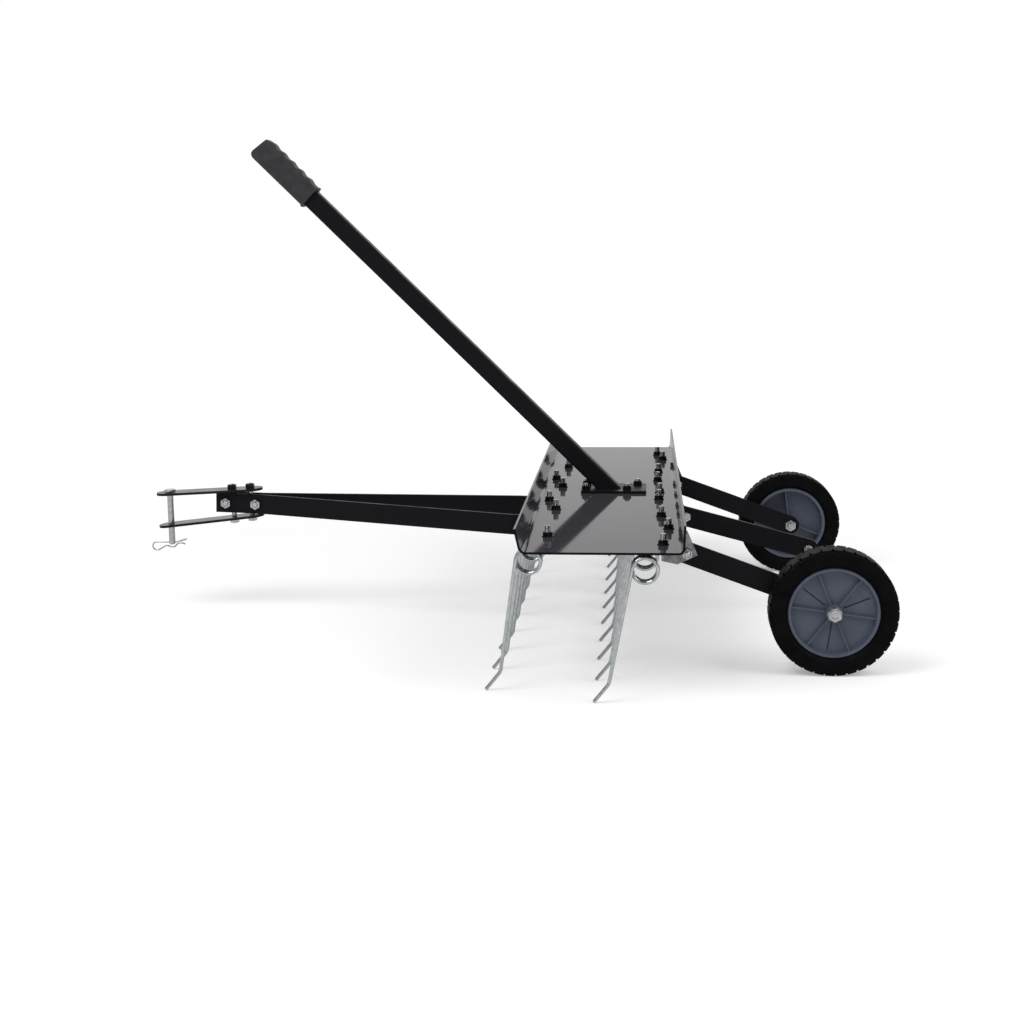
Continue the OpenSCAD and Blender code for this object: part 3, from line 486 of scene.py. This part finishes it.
def solids_of(node):
    """The corners of each separate solid of a CAD node."""
    thing = NODES[node]
    places, root, corners = {}, [], []

    def find(i):
        while root[i] != i:
            i = root[i]
        return i

    numbers = []
    for vertex in thing.data.vertices:
        corner = thing.matrix_world @ vertex.co
        key = corner_key(corner)
        if key not in places:
            places[key] = len(root)
            root.append(len(root))
            corners.append(corner)
        numbers.append(places[key])
    for polygon in thing.data.polygons:
        for k in polygon.vertices:
            root[find(numbers[k])] = find(numbers[polygon.vertices[0]])
    groups = {}
    for i, corner in enumerate(corners):
        groups.setdefault(find(i), []).append(corner)
    return [np.array(group) for group in groups.values()]


def bolt_frame(corners):
    """A bolt's middle, axis from head to tip, ends along it, and the radii of head's flats and shank."""
    middle = corners.mean(0)
    spread = corners - middle
    axis = np.linalg.eigh(spread.T @ spread)[1][:, -1]
    along = spread @ axis
    radial = np.linalg.norm(spread - np.outer(along, axis), axis=1)
    if along[radial > HEAD_SHARE * radial.max()].mean() > 0:
        axis, along = -axis, -along
    flat = radial.max() * FLATS
    shank = radial[along > along.max() - TIP_DEPTH].max()
    return Vector(middle), Vector(axis), *(float(size) for size in (along.min(), along.max(), flat, shank))


def lathe(profile, place, axis, vertices, faces):
    """Adds a solid of revolution; its profile of radii and heights runs from pole to pole or goes round."""
    first = axis.orthogonal().normalized()
    second = axis.cross(first)
    rows = []
    for radius, height in profile:
        centre = place + axis * height
        turns = 1 if radius == 0 else LATHE_SIDES
        rows.append(range(len(vertices), len(vertices) + turns))
        for k in range(turns):
            angle = 2 * math.pi * k / LATHE_SIDES
            vertices.append(centre + radius * (first * math.cos(angle) + second * math.sin(angle)))
    pairs = list(zip(rows, rows[1:]))
    if profile[0][0] > 0:
        pairs.append((rows[-1], rows[0]))
    for low, high in pairs:
        for k in range(LATHE_SIDES):
            after = (k + 1) % LATHE_SIDES
            if len(low) == 1:
                faces.append((low[0], high[after], high[k]))
            elif len(high) == 1:
                faces.append((low[k], low[after], high[0]))
            else:
                faces.append((low[k], low[after], high[after], high[k]))


def head_face(flat):
    """Chamfered ring on a bolt's head; heights grow away from the head."""
    rim = RING * flat
    return [(0, 0.1 * MM), (0.5 * rim, 0.1 * MM), (0.62 * rim, 0.5 * MM), (0.88 * rim, 0.5 * MM),
            (rim, 0.1 * MM), (rim, -SUNK), (0, -SUNK)]


def nut_face(flat, shank):
    """Chamfered ring on a nut's outer face, round its bolt."""
    rim = RING * flat
    inner = shank + 0.4 * MM
    return [(inner, -SUNK), (inner, 0.1 * MM), (inner + 0.4 * MM, 0.4 * MM), (0.86 * rim, 0.4 * MM),
            (rim, 0.05 * MM), (rim, -SUNK)]


def stud_end(shank):
    """Chamfered end of a bolt."""
    side = 0.97 * shank
    return [(0, -0.3 * MM), (side, -0.3 * MM), (side, 0), (shank - 0.8 * MM, 0.6 * MM), (0, 0.6 * MM)]


def thread(shank, length):
    """Ridges along a bolt's end, from a nut's face at height 0."""
    turns = max(1, int(length / THREAD_PITCH))
    ridges = []
    for i in range(turns):
        ridges += [(shank - THREAD_ROOT, i * THREAD_PITCH), (shank + THREAD_CREST, (i + 0.5) * THREAD_PITCH)]
    ridges.append((shank - THREAD_ROOT, turns * THREAD_PITCH))
    core = shank - 3 * THREAD_ROOT
    return ridges + [(core, turns * THREAD_PITCH), (core, 0)]


def make_fasteners():
    """Chamfers and threads on the CAD model's bolts and nuts."""
    for bolt, (nut, exposed) in FASTENERS.items():
        if exposed is None:
            exposed = (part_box(bolt)[1].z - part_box(nut)[1].z) / MM
        exposed *= MM
        bolt_corners, bolt_faces, nut_corners, nut_faces = [], [], [], []
        for corners in solids_of(bolt):
            middle, axis, head, tip, flat, shank = bolt_frame(corners)
            nut_place = middle + axis * (tip - exposed)
            lathe(head_face(flat), middle + axis * head, -axis, bolt_corners, bolt_faces)
            lathe(stud_end(shank), middle + axis * tip, axis, bolt_corners, bolt_faces)
            lathe(thread(shank, exposed), nut_place, axis, bolt_corners, bolt_faces)
            lathe(nut_face(flat, shank), nut_place, axis, nut_corners, nut_faces)
        for name, corners, faces, node in ((f"{bolt}_details", bolt_corners, bolt_faces, bolt),
                                           (f"{bolt}_nut_faces", nut_corners, nut_faces, nut)):
            piece(name, mesh_from(name, corners, faces, FASTENER_SMOOTH), node, replaces=False)


# Outer recess of a rim: heights above the wheel's middle plane, and radii in the CAD model and in the scene
DISC_HEIGHT = 8 * MM
LIP_HEIGHT = 18.5 * MM
LIP_R = 58.5 * MM
CAD_DISC_R = 51 * MM
DISC_R = 56.5 * MM
CAD_GROOVE_R = 48 * MM
GROOVE_R = 53 * MM
# Slack with which a corner counts as lying on the recess, in radius and as a share of the wall's height
ON_SURFACE = 0.3 * MM
WALL_SLACK = 0.01


def recess_radius(radius, height):
    """Where a corner of the CAD model's rim lies when the recess has a steeper wall and a wider floor."""
    level = (height - DISC_HEIGHT) / (LIP_HEIGHT - DISC_HEIGHT)
    off_wall = abs(radius - CAD_DISC_R - level * (LIP_R - CAD_DISC_R))
    if -WALL_SLACK < level < 1 - WALL_SLACK and off_wall < ON_SURFACE:
        return DISC_R + level * (LIP_R - DISC_R)
    if 0 < height < DISC_HEIGHT + ON_SURFACE and abs(radius - CAD_GROOVE_R) < ON_SURFACE:
        return GROOVE_R
    return radius


def make_rims():
    """Rims with the thin lip that the photograph shows, each a changed copy of the CAD model's corners."""
    for side, axle, outward in (("left", AXLE_LEFT, -1), ("right", AXLE_RIGHT, 1)):
        node = NODES[f"rim_{side}"]
        numbers, corners, faces = {}, [], []
        for polygon in node.data.polygons:
            face = []
            for k in polygon.vertices:
                offset = node.matrix_world @ node.data.vertices[k].co - axle
                key = corner_key(offset)
                if key not in numbers:
                    radius = math.hypot(offset.x, offset.z)
                    grow = recess_radius(radius, offset.y * outward) / radius
                    numbers[key] = len(corners)
                    corners.append(axle + Vector((offset.x * grow, offset.y, offset.z * grow)))
                face.append(numbers[key])
            if len(set(face)) == len(face):
                faces.append(face)
        name = f"rim_moulding_{side}"
        piece(name, mesh_from(name, corners, faces, RIM_SMOOTH), f"rim_{side}")


# Camera, solved from the photograph: its place from the left wheel's axle, and its turn in degrees
CAMERA_FROM_AXLE = Vector((-263.0, -2206.5, 520.3)) * MM
CAMERA_YAW = math.radians(4.60)
CAMERA_PITCH = math.radians(9.86)
CAMERA_ROLL = math.radians(-0.57)
FOCAL_PX = 1628.05
IMAGE_PX = 1024
SENSOR_MM = 36.0
FARTHEST_SEEN = 100


def make_camera():
    """The camera that sees the object as the photograph does."""
    forward = Vector((-math.sin(CAMERA_YAW) * math.cos(CAMERA_PITCH),
                      math.cos(CAMERA_YAW) * math.cos(CAMERA_PITCH), -math.sin(CAMERA_PITCH)))
    level = Vector((math.cos(CAMERA_YAW), math.sin(CAMERA_YAW), 0))
    up = level.cross(forward)
    right = level * math.cos(CAMERA_ROLL) + up * math.sin(CAMERA_ROLL)
    top = up * math.cos(CAMERA_ROLL) - level * math.sin(CAMERA_ROLL)
    turn = Matrix((right, top, -forward)).transposed().to_4x4()
    camera = bpy.data.objects.new("camera", bpy.data.cameras.new("camera"))
    camera.matrix_world = Matrix.Translation(AXLE_LEFT + CAMERA_FROM_AXLE) @ turn
    camera.data.sensor_width = SENSOR_MM
    camera.data.lens = FOCAL_PX / IMAGE_PX * SENSOR_MM
    camera.data.clip_end = FARTHEST_SEEN
    bpy.context.scene.collection.objects.link(camera)
    bpy.context.scene.camera = camera


# Strength of the surroundings: as light, and in reflections on the left side, on the right side and above
WORLD_LIGHT = 0.55
WORLD_NEAR = 0.3
WORLD_FAR = 0.95
WORLD_ABOVE = 0.3
# Directions in Y and in Z between which those strengths change
SIDE_FROM = -0.5
SIDE_TO = 0.6
ABOVE_FROM = 0.4
ABOVE_TO = 0.9
# Glow of the floor for the camera, near the object and far from it, and the distances where it changes
GLOW_NEAR = 0.3
GLOW_FAR = 0.62
GLOW_FROM = 0.9
GLOW_TO = 2.6
FLOOR_HALF = 30
# Lamps: place, target, size and power
LAMPS = {
    "key": ((-1.6, -2.0, 3.2), (0, 0, 0.3), 2.2, 60),
    "fill": ((2.4, -1.2, 2.2), (0, 0, 0.2), 2.0, 25),
}


def area_light(name, place, target, size, power):
    """A round lamp at place that shines on target."""
    light = bpy.data.lights.new(name, "AREA")
    light.shape = "DISK"
    light.size = size
    light.energy = power
    lamp = bpy.data.objects.new(name, light)
    lamp.location = place
    lamp.rotation_euler = (Vector(target) - Vector(place)).to_track_quat("-Z", "Y").to_euler()
    bpy.context.scene.collection.objects.link(lamp)


def make_world():
    """White for the camera, plain light on the object, and reflections darker to the left and upwards."""
    world = bpy.data.worlds.new("studio")
    bpy.context.scene.world = world
    world.use_nodes = True
    tree = world.node_tree
    background = tree.nodes["Background"]
    background.inputs["Color"].default_value = (1, 1, 1, 1)

    def node(kind, **inputs):
        return tuned(tree.nodes.new(kind), **inputs)

    path = node("ShaderNodeLightPath")
    axes = node("ShaderNodeSeparateXYZ")
    tree.links.new(node("ShaderNodeTexCoord").outputs["Generated"], axes.inputs["Vector"])
    mirrored = node("ShaderNodeMapRange", From_Min=SIDE_FROM, From_Max=SIDE_TO,
                    To_Min=WORLD_NEAR, To_Max=WORLD_FAR)
    tree.links.new(axes.outputs["Y"], mirrored.inputs["Value"])
    above = node("ShaderNodeMapRange", From_Min=ABOVE_FROM, From_Max=ABOVE_TO, To_Min=1.0, To_Max=WORLD_ABOVE)
    tree.links.new(axes.outputs["Z"], above.inputs["Value"])
    dimmed = node("ShaderNodeMath")
    dimmed.operation = "MULTIPLY"
    tree.links.new(mirrored.outputs["Result"], dimmed.inputs[0])
    tree.links.new(above.outputs["Result"], dimmed.inputs[1])
    glossy = node("ShaderNodeMapRange", To_Min=WORLD_LIGHT)
    tree.links.new(path.outputs["Is Glossy Ray"], glossy.inputs["Value"])
    tree.links.new(dimmed.outputs["Value"], glossy.inputs["To Max"])
    seen = node("ShaderNodeMapRange", To_Max=1.0)
    tree.links.new(path.outputs["Is Camera Ray"], seen.inputs["Value"])
    tree.links.new(glossy.outputs["Result"], seen.inputs["To Min"])
    tree.links.new(seen.outputs["Result"], background.inputs["Strength"])


def make_floor():
    """A pale floor that reads as white and keeps a soft shadow near the object."""
    shader = Shader("floor", (0.82, 0.82, 0.82), 0.9, ior=1.0)
    shader.vary_color(shader.noise(3, 2), (0.81, 0.81, 0.81), (0.83, 0.83, 0.83))
    path = shader.node("ShaderNodeLightPath")
    distance = shader.node("ShaderNodeVectorMath")
    distance.operation = "LENGTH"
    shader.link(shader.place, distance.inputs[0])
    glow = shader.node("ShaderNodeMapRange", From_Min=GLOW_FROM, From_Max=GLOW_TO,
                       To_Min=GLOW_NEAR, To_Max=GLOW_FAR)
    shader.link(distance.outputs["Value"], glow.inputs["Value"])
    seen = shader.node("ShaderNodeMapRange", To_Min=0.0)
    shader.link(path.outputs["Is Camera Ray"], seen.inputs["Value"])
    shader.link(glow.outputs["Result"], seen.inputs["To Max"])
    tuned(shader.principled, Emission_Color=(1, 1, 1, 1))
    shader.link(seen.outputs["Result"], shader.principled.inputs["Emission Strength"])
    mesh = bpy.data.meshes.new("floor")
    mesh.from_pydata([(-FLOOR_HALF, -FLOOR_HALF, 0), (FLOOR_HALF, -FLOOR_HALF, 0),
                      (FLOOR_HALF, FLOOR_HALF, 0), (-FLOOR_HALF, FLOOR_HALF, 0)], [], [(0, 1, 2, 3)])
    mesh.materials.append(shader.material)
    floor = bpy.data.objects.new("floor", mesh)
    bpy.context.scene.collection.objects.link(floor)


make_camera()
make_world()
for lamp_name, lamp_values in LAMPS.items():
    area_light(lamp_name, *lamp_values)
make_floor()
dress_nodes()
make_tines()
make_clip()
make_fasteners()
make_rims()
bpy.context.scene.view_settings.view_transform = "Standard"
